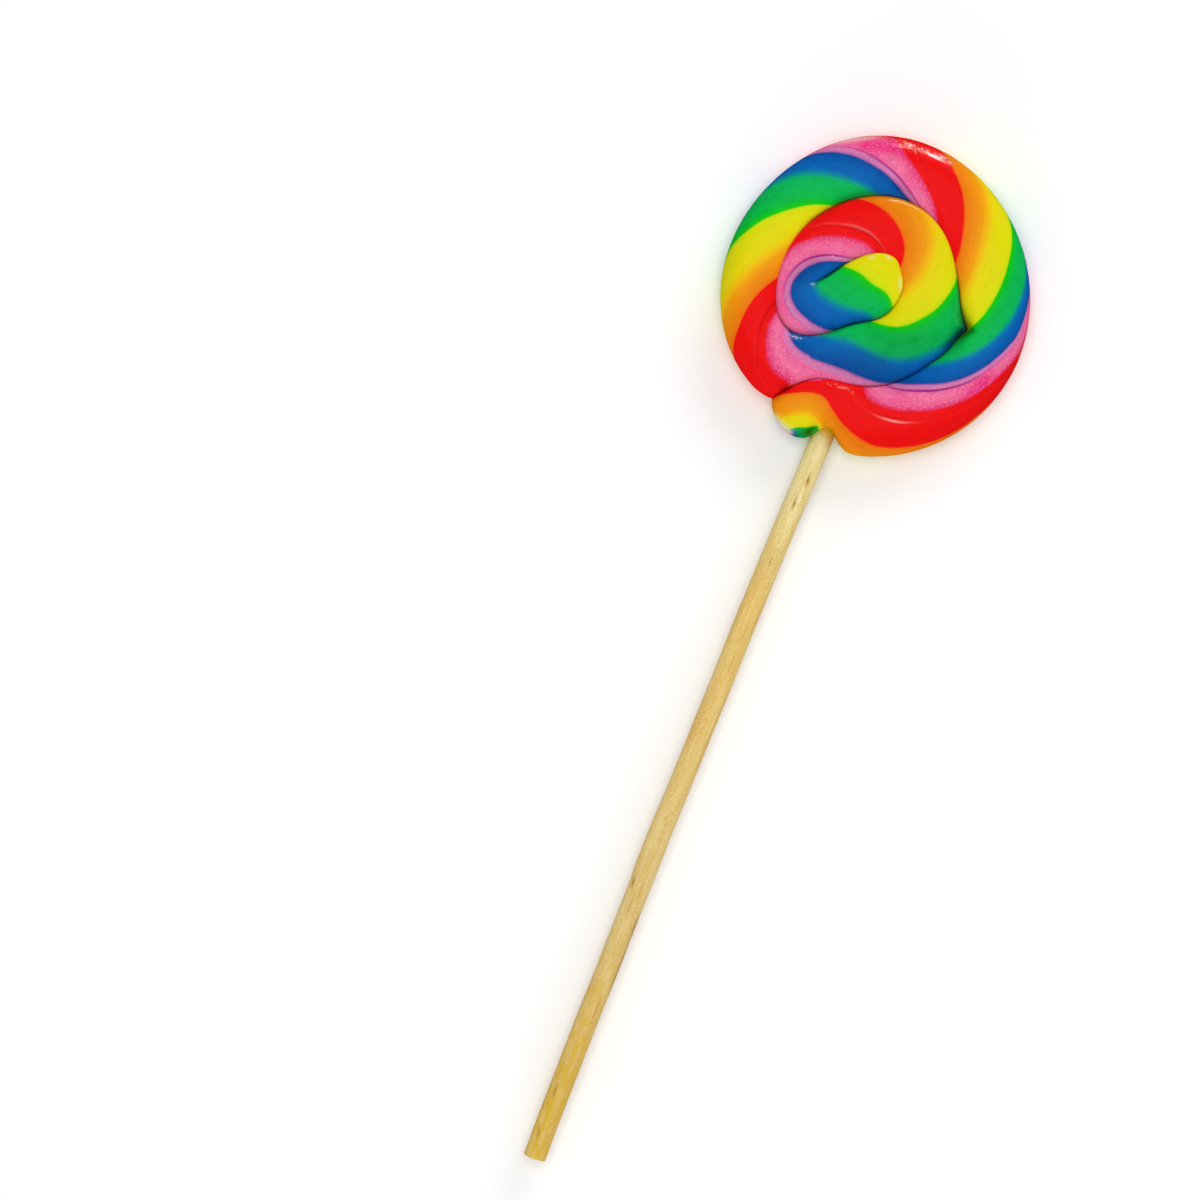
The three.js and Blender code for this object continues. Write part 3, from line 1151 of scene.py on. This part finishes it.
@dataclass
class CandyCoil:
    """The candy: one rope coiled flat on itself until its turns fused, with the stick's socket."""

    plan: CoilPlan = CoilPlan()
    profile: RopeProfile = RopeProfile()
    twist: Twist = Twist()
    finish: StripedSugar = StripedSugar()
    back_steps: int = 72
    belly_steps: int = 16
    corner_reach: float = 4.0
    weld: float = 0.001
    sliver: float = 0.0002
    socket_sides: int = 96
    socket_radius: float = 2.55
    socket_bottom_y: float = -60.0
    socket_top_y: float = -5.45
    folds: tuple[Fold, ...] = (LILAC_FOLD, RED_FOLD)
    lumps: tuple[tuple[float, float], ...] = ((7.0, 0.16), (1.6, 0.035))
    fold_ends: int = 8
    mark_fade: float = 1.2
    # Painted shade along the seams between turns: its sampling step, its width, its base strength
    # and its strength round the coil.
    seam_step: float = 0.2
    seam_width: float = 0.36
    seam_base: float = 0.04
    seam_shade_strengths: tuple[Feature, ...] = (
        Feature(Shape.BUMP, 0, 0.60, 26),
        Feature(Shape.BUMP, 258, 0.45, 36),
        Feature(Shape.BUMP, 315, 0.25, 12),
        Feature(Shape.BUMP, 418, 0.50, 24),
        Feature(Shape.BUMP, 545, 0.75, 24),
        Feature(Shape.BUMP, 600, 0.35, 20),
    )
    # Painted shade: dark patches where creases and flanks turned away from the light lie in shade.
    shade_patches: tuple[Mark, ...] = (
        Mark(-2.9, -32.6, 3.4, 1.8, 62, 0.6),
        Mark(-4.3, -33.7, 4.4, 2.0, 32, 0.45),
        Mark(19.2, -1.5, 8.0, 2.2, 66, 0.7),
        Mark(-11.6, -25.9, 3.0, 1.6, 45, 0.45),
        Mark(-18.0, 13.4, 9.0, 1.2, 52, 0.35),
        Mark(-12.4, 19.6, 8.0, 1.6, 33, 0.35),
        Mark(9.0, -7.5, 18.0, 9.0, 25, 0.2),
        Mark(4.0, -15.2, 20.0, 6.0, 5, 0.22),
        Mark(-16.6, 0.4, 9.0, 4.0, 68, 0.2),
        Mark(-4.0, 24.2, 7.0, 1.6, -25, 0.35),
    )
    rosy_patches: tuple[Mark, ...] = (
        Mark(-12.0, 31.4, 11.0, 3.2, 12, 0.85),
        Mark(28.0, -9.4, 9.0, 3.2, 55, 0.95),
        Mark(-2.0, 27.5, 8.0, 2.5, -38, 0.35),
        Mark(-20.6, -1.0, 9.0, 2.2, 90, 0.15),
    )
    # Painted highlights: pale sheen and glints on edges, and the white floor's reflection under the
    # tail.
    sheen_marks: tuple[Mark, ...] = (
        Mark(-10.7, -33.3, 4.4, 1.3, -30, 0.75),
        Mark(-8.2, -34.5, 3.4, 1.7, -14, 0.85),
        Mark(-1.2, 9.3, 1.4, 0.45, -15, 0.55),
        Mark(-4.7, 7.9, 1.4, 0.45, 35, 0.55),
        Mark(3.3, 4.8, 3.0, 0.5, -68, 0.5),
        Mark(-18.0, 31.0, 12.0, 1.0, 29, 0.45),
        Mark(-14.7, -2.4, 1.0, 0.4, 15, 0.35),
    )
    # Pits in relief that also carry painted glints, among them the highlight band along the top of
    # the rim.
    glint_blisters: tuple[Mark, ...] = (
        Mark(-5.2, 34.3, 6.8, 1.0, 3, 0.9),
        Mark(2.0, 34.4, 4.8, 0.8, -13, 0.8),
        Mark(-1.4, -21.3, 4.2, 0.6, 6, 0.4),
        Mark(2.2, -21.3, 2.6, 0.5, -20, 0.25),
        Mark(-13.8, -14.6, 2.2, 0.8, 15, 0.5),
        Mark(-10.3, -24.4, 2.4, 0.6, 40, 0.3),
    )

    def rope_lengths(self) -> np.ndarray:
        """Distances along the middle of the rope.

        Returns:
            How far each rung is from the rope's inner end, in millimetres.
        """
        rungs = np.arange(self.plan.tip_rung, self.plan.last_rung + 1)
        ends = self.plan.edge(self.plan.inner(rungs)), self.plan.edge(rungs)
        steps = np.diff((ends[0] + ends[1]) / 2, axis=0)
        return np.concatenate([[0.0], np.cumsum(np.hypot(steps[:, 0], steps[:, 1]))])

    def section(self, rung: int, row: Row) -> tuple[np.ndarray, np.ndarray]:
        """Corners across the rope at one rung.

        Args:
            rung: number of the rung.
            row: the row of corners, over the back or along the belly.

        Returns:
            The corners, and for each its distance over the skin from the inner end.
        """
        steps = self.back_steps if row is Row.BACK else self.belly_steps
        inner = int(round(float(self.plan.inner(np.array(rung)))))
        first, last = self.plan.edge(np.array([inner, rung]))
        low = [self.profile.edge_height(self.plan, i, row) for i in (inner, rung)]
        fraction = 0.5 - 0.5 * np.cos(np.pi * np.arange(steps + 1) / steps)
        across = np.abs(2 * fraction - 1)
        length = math.dist(first, last)
        roundness = math.sin(math.pi / 2 * min(1.0, length / self.profile.full_round_length))
        top = self.profile.crown(float(self.plan.angle(rung))) if row is Row.BACK else 0.0
        level = low[0] + (low[1] - low[0]) * fraction
        middle = level + (top - level) * roundness
        near = fraction < 0.5
        to_rim = [i >= self.plan.rungs_to_notch for i in (inner, rung)]
        fall = np.where(
            near,
            self.profile.fall(across, row, to_rim[0]),
            self.profile.fall(across, row, to_rim[1]),
        )
        height = middle + (np.where(near, low[0], low[1]) - middle) * fall
        soft_first, soft_last = self.plan.edge(np.array([inner, rung]), sharp=False)
        near_first = np.exp(-((fraction * length / self.corner_reach) ** 2))[:, None]
        near_last = near_first[::-1]
        places = soft_first + (soft_last - soft_first) * fraction[:, None]
        places = places + (first - soft_first) * near_first + (last - soft_last) * near_last
        corners = np.column_stack([places, height])
        gaps = np.linalg.norm(np.diff(corners, axis=0), axis=1)
        if row is Row.BACK:
            angles = tuple(float(self.plan.angle(i)) for i in (inner, rung))
            corners[:, 2] -= self.profile.pit(angles, fraction * length)
        return corners, np.concatenate([[0.0], np.cumsum(gaps)])

    def skin(self, row: Row) -> tuple[np.ndarray, np.ndarray]:
        """All corners of one row, with their places on the rope's map.

        Args:
            row: the row of corners.

        Returns:
            Corners by rung and step, and for each the colour number and the length along the rope.
        """
        along = self.rope_lengths()
        corners, marks = [], []
        for number, rung in enumerate(range(self.plan.tip_rung, self.plan.last_rung + 1)):
            points, around = self.section(rung, row)
            if row is Row.BELLY:
                back = self.section(rung, Row.BACK)[1][-1]
                around = back + around[-1] - around
            inner = int(round(float(self.plan.inner(np.array(rung)))))
            around = around + self.plan.push(inner, rung)
            colour = self.twist.colour(np.full(len(around), along[number]), around)
            colour = self.twist.tuck.drawn(colour, points)
            corners.append(points)
            marks.append(np.column_stack([colour, np.full(len(around), along[number])]))
        return np.array(corners), np.array(marks)

    def fold_in(self, corners: np.ndarray, marks: np.ndarray) -> np.ndarray:
        """Presses the shallow folds into the rope's back, along the colours they follow.

        Args:
            corners: corners of the back, by rung and step.
            marks: the colour number and the length along the rope of each.

        Returns:
            The corners with the folds in them.
        """
        along = np.gradient(corners, axis=0)
        across = np.gradient(corners, axis=1)
        normal = np.cross(across, along)
        size = np.linalg.norm(normal, axis=2, keepdims=True)
        normal = np.where(size > NO_AREA, normal / np.maximum(size, NO_AREA), 0.0)
        normal *= np.sign(normal[..., 2:3] + NO_AREA)
        turn = np.mod(marks[..., 0], self.twist.colours)
        depth = sum(fold.dip(turn, marks[..., 1]) for fold in self.folds)
        inside = 1 - np.abs(np.linspace(-1, 1, corners.shape[1])) ** self.fold_ends
        return corners - normal * (depth * inside)[..., None]

    def lump(self, candy: bpy.types.Object) -> None:
        """Makes the rolled skin a little lumpy, and lays it flat on the table again.

        Args:
            candy: the candy.
        """
        for size, height in self.lumps:
            clouds = bpy.data.textures.new("lumps", "CLOUDS")
            clouds.noise_scale = size * MM
            settings = {"texture": clouds, "strength": height * MM, "mid_level": 0.5}
            apply_modifier(candy, "DISPLACE", settings)
        points = points_of(candy)
        points[:, 2] = np.maximum(points[:, 2], 0)
        place_points(candy, points)

    def seam(self, points: np.ndarray) -> np.ndarray:
        """How strongly painted shade darkens the colour along the seam between two turns.

        Args:
            points: x, y and z of each point, in millimetres.

        Returns:
            The strength of the painted shade at each of them, from 0 to 1.
        """
        places = np.arange(0, self.plan.rungs_to_notch, self.seam_step)
        tree = KDTree(len(places))
        for number, (x, y) in enumerate(self.plan.edge(places)):
            tree.insert((x, y, 0), number)
        tree.balance()
        nearest = [tree.find((x, y, 0))[1:] for x, y, _ in points]
        angle = self.plan.angle(places[[number for number, _ in nearest]])
        depth = self.seam_base + sum(place.value(angle) for place in self.seam_shade_strengths)
        off = np.array([distance for _, distance in nearest])
        return depth * np.exp(-((off / self.seam_width) ** 2))

    def build_skin(self, row: Row) -> bpy.types.Object:
        """Makes one row's skin from a grid, and lays the rope's map on it.

        Args:
            row: the row of corners.

        Returns:
            The new mesh.
        """
        corners, marks = self.skin(row)
        if row is Row.BACK:
            corners = self.fold_in(corners, marks)
        rungs, steps = corners.shape[:2]
        deselect_all()
        bpy.ops.mesh.primitive_grid_add(x_subdivisions=steps - 1, y_subdivisions=rungs - 1, size=2)
        piece = bpy.context.active_object
        grid = np.zeros(len(piece.data.vertices) * 3, np.float32)
        piece.data.vertices.foreach_get("co", grid)
        grid = grid.reshape(-1, 3)
        step = np.rint((grid[:, 0] + 1) / 2 * (steps - 1)).astype(int)
        rung = np.rint((grid[:, 1] + 1) / 2 * (rungs - 1)).astype(int)
        place_points(piece, corners[rung, step])
        while piece.data.uv_layers:
            piece.data.uv_layers.remove(piece.data.uv_layers[0])
        layer = piece.data.uv_layers.new(name=ROPE_MAP)
        corner_of = np.zeros(len(piece.data.loops), np.int32)
        piece.data.loops.foreach_get("vertex_index", corner_of)
        scale = np.array([1 / self.twist.colours, 1 / self.twist.girth])
        on_map = (marks[rung, step] * scale)[corner_of]
        layer.data.foreach_set("uv", on_map.astype(np.float32).ravel())
        return piece

    def cut_socket(self, candy: bpy.types.Object) -> None:
        """Bores the blind socket in which the stick is set.

        Args:
            candy: the candy.
        """
        deselect_all()
        depth = self.socket_top_y - self.socket_bottom_y
        middle = (self.socket_top_y + self.socket_bottom_y) / 2
        bpy.ops.mesh.primitive_cylinder_add(
            vertices=self.socket_sides,
            radius=self.socket_radius * MM,
            depth=depth * MM,
            location=(0, middle * MM, self.profile.rim_z * MM),
            rotation=(math.pi / 2, 0, 0),
        )
        cutter = bpy.context.active_object
        cutter.data.uv_layers[0].name = ROPE_MAP
        apply_modifier(
            candy, "BOOLEAN", {"operation": "DIFFERENCE", "object": cutter, "solver": "EXACT"}
        )
        bpy.data.objects.remove(cutter)

    def build(self) -> bpy.types.Object:
        """Builds the candy.

        Returns:
            The finished piece, in its finish.
        """
        back, belly = self.build_skin(Row.BACK), self.build_skin(Row.BELLY)
        select_only(back, belly)
        bpy.ops.object.join()
        candy = bpy.context.active_object
        candy.name = candy.data.name = "candy_coil"
        bpy.ops.object.mode_set(mode="EDIT")
        bpy.ops.mesh.select_all(action="SELECT")
        bpy.ops.mesh.remove_doubles(threshold=self.weld * MM)
        bpy.ops.mesh.dissolve_degenerate(threshold=self.sliver * MM)
        bpy.ops.mesh.normals_make_consistent(inside=False)
        bpy.ops.object.mode_set(mode="OBJECT")
        self.lump(candy)
        self.cut_socket(candy)
        points = points_of(candy)
        above = np.clip((points[:, 2] - self.profile.rim_z) / self.mark_fade + 1, 0, 1)
        # Of these stored values, the pale edges and the specks in the pits are painted highlights;
        # rosy is the pink's own colour.
        shades = {
            "grained": self.sheen_marks, "blister": self.glint_blisters, "rosy": self.rosy_patches,
        }
        for name, marks in shades.items():
            store_shade(candy, name, sum(mark.value(points) for mark in marks) * above)
        # Painted shade along the seams and in patches, stored for the material.
        patches = sum(mark.value(points) for mark in self.shade_patches) * above
        store_shade(candy, "deep", np.maximum(self.seam(points), patches))
        select_only(candy)
        bpy.ops.object.shade_smooth_by_angle(angle=math.radians(SMOOTH_BELOW))
        self.dress(candy)
        return candy

    def dress(self, candy: bpy.types.Object) -> None:
        """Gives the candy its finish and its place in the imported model.

        Args:
            candy: the candy.
        """
        candy.data.materials.clear()
        candy.data.materials.append(self.finish.build(self.twist))
        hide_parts("candy")
        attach(candy, "root")


@dataclass
class BirchStick:
    """The stick: a round birch dowel with worn ends, bent a little by drying."""

    diameter: float = 5.0
    length: float = 200.0
    top_y: float = -5.5
    mouth_y: float = -31.0
    middle_z: float = 5.5
    bow: float = 0.66
    worn_edge: float = 0.25
    worn_steps: int = 3
    sides: int = 96
    rings: int = 499
    end_rings: int = 3
    end_ring_width: float = 0.55
    end_within: float = 0.01
    waves: tuple[tuple[float, float, float], ...] = ((0.05, 9.0, 0.0), (0.03, 3.7, 1.0))
    waves_start: float = 10.0
    torn_depth: float = 0.2
    torn_spread: float = 0.8
    torn_from: float = -118.0
    torn_to: float = -138.7
    torn_fades: tuple[float, float] = (12.0, 0.8)
    torn_skin: float = 0.3
    saw_marks: tuple[tuple[float, float, float, float], ...] = (
        (0.05, 5.1, 1.3, 0.0),
        (0.14, 1.2, 0.0, -0.4),
    )
    saw_depth: float = 0.1
    saw_reach: float = 0.3
    finish: BirchDowel = BirchDowel()
    flecks: tuple[Mark, ...] = (
        Mark(0.5, -43.8, 1.6, 0.60, 95, 1.0),
        Mark(0.6, -42.6, 2.8, 0.40, 98, 0.7),
        Mark(-0.35, -48.5, 2.4, 0.60, 92, 0.95),
        Mark(-0.45, -63.0, 2.2, 0.30, 90, 0.7),
        Mark(0.1, -80.0, 5.0, 0.35, 90, 0.25),
        Mark(-0.1, -88.0, 5.0, 0.35, 90, 0.3),
        Mark(-2.3, -140.0, 1.6, 0.5, 80, 0.85),
        Mark(-1.0, -145.5, 3.0, 0.4, 90, 0.5),
        Mark(0.0, -141.0, 3.0, 0.35, 90, 0.4),
        Mark(1.75, -149.5, 5.0, 0.7, 90, 0.55),
        Mark(1.85, -159.5, 11.0, 0.35, 90, 0.7),
        Mark(0.6, -169.5, 4.5, 0.4, 90, 0.5),
        Mark(-1.2, -190.0, 2.0, 0.5, 85, 0.8),
        Mark(-1.2, -199.5, 2.2, 0.45, 88, 0.7),
    )
    # How far the syrup stain and the candy's painted shadow reach down the stick, at its middle and
    # further at its sides.
    syrup_and_shadow_reach: tuple[float, float] = (2.3, 1.1)
    lip_rise: float = 0.7
    lip_curve: float = 0.13
    lip_shift: float = 0.6

    def select_edges(self, piece: bpy.types.Object, wanted: np.ndarray) -> None:
        """Selects some edges of a mesh and nothing else.

        Args:
            piece: the piece whose mesh it is.
            wanted: for each edge, whether it is selected.
        """
        mesh = piece.data
        for group in (mesh.vertices, mesh.polygons):
            group.foreach_set("select", np.zeros(len(group), bool))
        mesh.edges.foreach_set("select", wanted)

    def edge_ends(self, piece: bpy.types.Object) -> np.ndarray:
        """Places of both ends of each edge of a mesh.

        Args:
            piece: the piece whose mesh it is.

        Returns:
            x, y and z by edge and end, in millimetres.
        """
        ends = np.zeros(len(piece.data.edges) * 2, np.int32)
        piece.data.edges.foreach_get("vertices", ends)
        return points_of(piece)[ends.reshape(-1, 2)]

    def turn_dowel(self) -> bpy.types.Object:
        """Turns the dowel: a cylinder cut into rings, with the edges of its ends worn round.

        Returns:
            The plain dowel.
        """
        deselect_all()
        bpy.ops.mesh.primitive_cylinder_add(
            vertices=self.sides,
            radius=self.diameter / 2 * MM,
            depth=self.length * MM,
            location=(0, (self.top_y - self.length / 2) * MM, self.middle_z * MM),
            rotation=(math.pi / 2, 0, 0),
        )
        stick = bpy.context.active_object
        bpy.ops.object.transform_apply(location=True, rotation=True, scale=True)
        bpy.ops.object.mode_set(mode="EDIT")
        bpy.ops.mesh.select_mode(type="EDGE")
        bpy.ops.object.mode_set(mode="OBJECT")
        ends = self.edge_ends(stick)
        lengthwise = np.abs(ends[:, 0, 1] - ends[:, 1, 1]) > self.length / 2
        self.select_edges(stick, lengthwise)
        bpy.ops.object.mode_set(mode="EDIT")
        bpy.ops.mesh.subdivide(number_cuts=self.rings)
        bpy.ops.object.mode_set(mode="OBJECT")
        ends = self.edge_ends(stick)
        from_middle = np.abs(ends[:, :, 1] - (self.top_y - self.length / 2))
        at_end = np.abs(from_middle - self.length / 2) < self.end_within
        self.select_edges(stick, at_end.all(axis=1))
        bpy.ops.object.mode_set(mode="EDIT")
        bpy.ops.mesh.bevel(offset=self.worn_edge * MM, segments=self.worn_steps, affect="EDGES")
        bpy.ops.mesh.select_mode(type="FACE")
        bpy.ops.object.mode_set(mode="OBJECT")
        for face in stick.data.polygons:
            face.select = len(face.vertices) > 4
        bpy.ops.object.mode_set(mode="EDIT")
        for _ in range(self.end_rings):
            bpy.ops.mesh.inset(thickness=self.end_ring_width * MM)
        bpy.ops.mesh.poke()
        bpy.ops.object.mode_set(mode="OBJECT")
        return stick

    def shape(self, stick: bpy.types.Object) -> None:
        """Bends the free length, roughens its sawn end and raises one torn strip of grain.

        Args:
            stick: the plain dowel.
        """
        points = points_of(stick)
        free_end = self.top_y - self.length
        x, y, z = points[:, 0].copy(), points[:, 1].copy(), points[:, 2].copy()
        radius = np.hypot(x, z - self.middle_z)
        left = np.exp(-((np.arctan2(z - self.middle_z, -x) / self.torn_spread) ** 2))
        begun = np.clip((self.torn_from - y) / self.torn_fades[0], 0, 1)
        ended = np.clip((y - self.torn_to) / self.torn_fades[1], 0, 1)
        torn = self.torn_depth * left * ended * begun
        points[:, 0] -= torn * (radius > self.diameter / 2 - self.torn_skin)
        wave = sum(height * np.sin(y / size + phase) for height, size, phase in self.waves)
        points[:, 0] += wave * np.clip((self.mouth_y - y) / self.waves_start, 0, 1)
        along = np.clip((self.mouth_y - y) / (self.mouth_y - free_end), 0, 1)
        points[:, 0] -= self.bow * 4 * along * (1 - along)
        sawn = self.saw_depth + sum(
            height * np.sin(x * per_x + z * per_z + phase)
            for height, per_x, per_z, phase in self.saw_marks
        )
        at_end = y < free_end + self.saw_reach
        points[:, 1] += np.where(at_end, sawn, 0.0) * (radius / (self.diameter / 2))
        place_points(stick, points)

    def mark(self, stick: bpy.types.Object) -> None:
        """Stores how dark the wood's flecks are, and how far the syrup stain and the painted shadow
        of the candy reach down from the mouth.

        Args:
            stick: the shaped stick.
        """
        points = points_of(stick)
        top = points[:, 2] > self.middle_z
        store_shade(stick, "fleck", sum(fleck.value(points) for fleck in self.flecks) * top)
        sag = self.lip_curve * (points[:, 0] + self.lip_shift) ** 2
        edge_y = self.mouth_y + self.lip_rise - sag
        reach = self.syrup_and_shadow_reach[0] + self.syrup_and_shadow_reach[1] * (2 * points[:, 0] / self.diameter) ** 2
        soaked_and_shaded = np.exp(-((np.maximum(0, edge_y - points[:, 1]) / reach) ** 3))
        store_shade(stick, "syrup", soaked_and_shaded)

    def build(self) -> bpy.types.Object:
        """Builds the stick.

        Returns:
            The finished piece, in its finish.
        """
        stick = self.turn_dowel()
        stick.name = stick.data.name = "birch_stick"
        self.shape(stick)
        self.mark(stick)
        select_only(stick)
        bpy.ops.object.shade_smooth_by_angle(angle=math.radians(SMOOTH_BELOW))
        self.dress(stick)
        return stick

    def dress(self, stick: bpy.types.Object) -> None:
        """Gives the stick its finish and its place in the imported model.

        Args:
            stick: the shaped stick.
        """
        stick.data.materials.clear()
        stick.data.materials.append(self.finish.build())
        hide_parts("stick")
        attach(stick, "root")


@dataclass(frozen=True)
class Panel:
    """A soft light panel that faces the candy: its place and size in metres, and its power."""

    name: str
    place: tuple[float, float, float]
    width: float
    height: float
    power: float
    in_gloss: bool = True
    in_diffuse: bool = True

    def build(self) -> None:
        """Hangs the panel."""
        x, y, z = self.place
        tilt = math.atan2(math.hypot(x, y), z)
        bearing = math.atan2(-y, -x) - math.pi / 2
        bpy.ops.object.light_add(type="AREA", location=self.place, rotation=(tilt, 0, bearing))
        light = bpy.context.active_object
        light.name = self.name
        light.data.shape = "RECTANGLE"
        light.data.size = self.width
        light.data.size_y = self.height
        light.data.energy = self.power
        light.visible_camera = False
        light.visible_glossy = self.in_gloss
        light.visible_diffuse = self.in_diffuse


@dataclass
class Studio:
    """The floor, the soft light and the camera, which looks straight down from high above."""

    rim_z: float = 5.5
    looks_at: tuple[float, float] = (-32.4, -84.8)
    frame_width: float = 266.7
    lens: float = 200.0
    sensor: float = 36.0
    roll: float = 21.8
    farthest: float = 20.0
    floor_size: float = 6000.0
    floor_colour: tuple[float, float, float, float] = (0.96, 0.96, 0.96, 1.0)
    sky: float = 0.41
    panels: tuple[Panel, ...] = (
        Panel("panel_over", (-0.1, 0.0, 1.8), 1.2, 1.2, 15.8, in_gloss=False),
        Panel("panel_key", (0.2, 1.2, 0.7), 1.0, 0.5, 7.5, in_gloss=False),
        Panel("panel_fill", (0.1, -1.2, 0.26), 1.0, 0.3, 5.0, in_gloss=False),
        Panel("panel_low", (-0.02, 0.5, 0.105), 0.15, 0.09, 2.7, in_diffuse=False),
    )

    def build(self) -> None:
        """Builds the floor, the lights and the camera."""
        self.build_floor()
        self.build_sky()
        for panel in self.panels:
            panel.build()
        self.build_camera()

    def build_floor(self) -> None:
        """Lays a plain white floor under the lollipop, matt so that it mirrors nothing."""
        deselect_all()
        bpy.ops.mesh.primitive_plane_add(size=self.floor_size * MM, location=(0, 0, 0))
        floor = bpy.context.active_object
        floor.name = "floor"
        material, tree = new_material("floor_matt_white")
        surface = add_node(
            tree, "ShaderNodeBsdfDiffuse", {"Color": self.floor_colour, "Roughness": 0.0}
        )
        add_node(tree, "ShaderNodeOutputMaterial", links={"Surface": surface.outputs[0]})
        floor.data.materials.append(material)
        floor.visible_glossy = False

    def build_sky(self) -> None:
        """Fills the room with even, pale light."""
        world = bpy.data.worlds.new("soft_room")
        bpy.context.scene.world = world
        world.use_nodes = True
        world.node_tree.nodes.clear()
        world.cycles_visibility.glossy = False
        light = add_node(
            world.node_tree, "ShaderNodeBackground", {"Color": (1, 1, 1, 1), "Strength": self.sky}
        )
        add_node(world.node_tree, "ShaderNodeOutputWorld", links={"Surface": light.outputs[0]})

    def build_camera(self) -> None:
        """Puts the camera straight above the middle of the picture."""
        distance = self.frame_width * self.lens / self.sensor
        x, y = self.looks_at
        bpy.ops.object.camera_add(
            location=(x * MM, y * MM, (self.rim_z + distance) * MM),
            rotation=(0, 0, math.radians(self.roll)),
        )
        camera = bpy.context.active_object
        camera.name = "camera"
        camera.data.lens = self.lens
        camera.data.sensor_width = self.sensor
        camera.data.clip_end = self.farthest
        bpy.context.scene.camera = camera
        bpy.context.scene.view_settings.view_transform = "Standard"


def main() -> None:
    """Builds the lollipop and its studio, and reports each piece."""
    logging.basicConfig(level=logging.INFO, format="%(name)s: %(message)s")
    for sub_assembly in (CandyCoil(), BirchStick()):
        piece = sub_assembly.build()
        log.info("%s: %d faces", piece.name, len(piece.data.polygons))
    Studio().build()


if __name__ == "__main__":
    main()
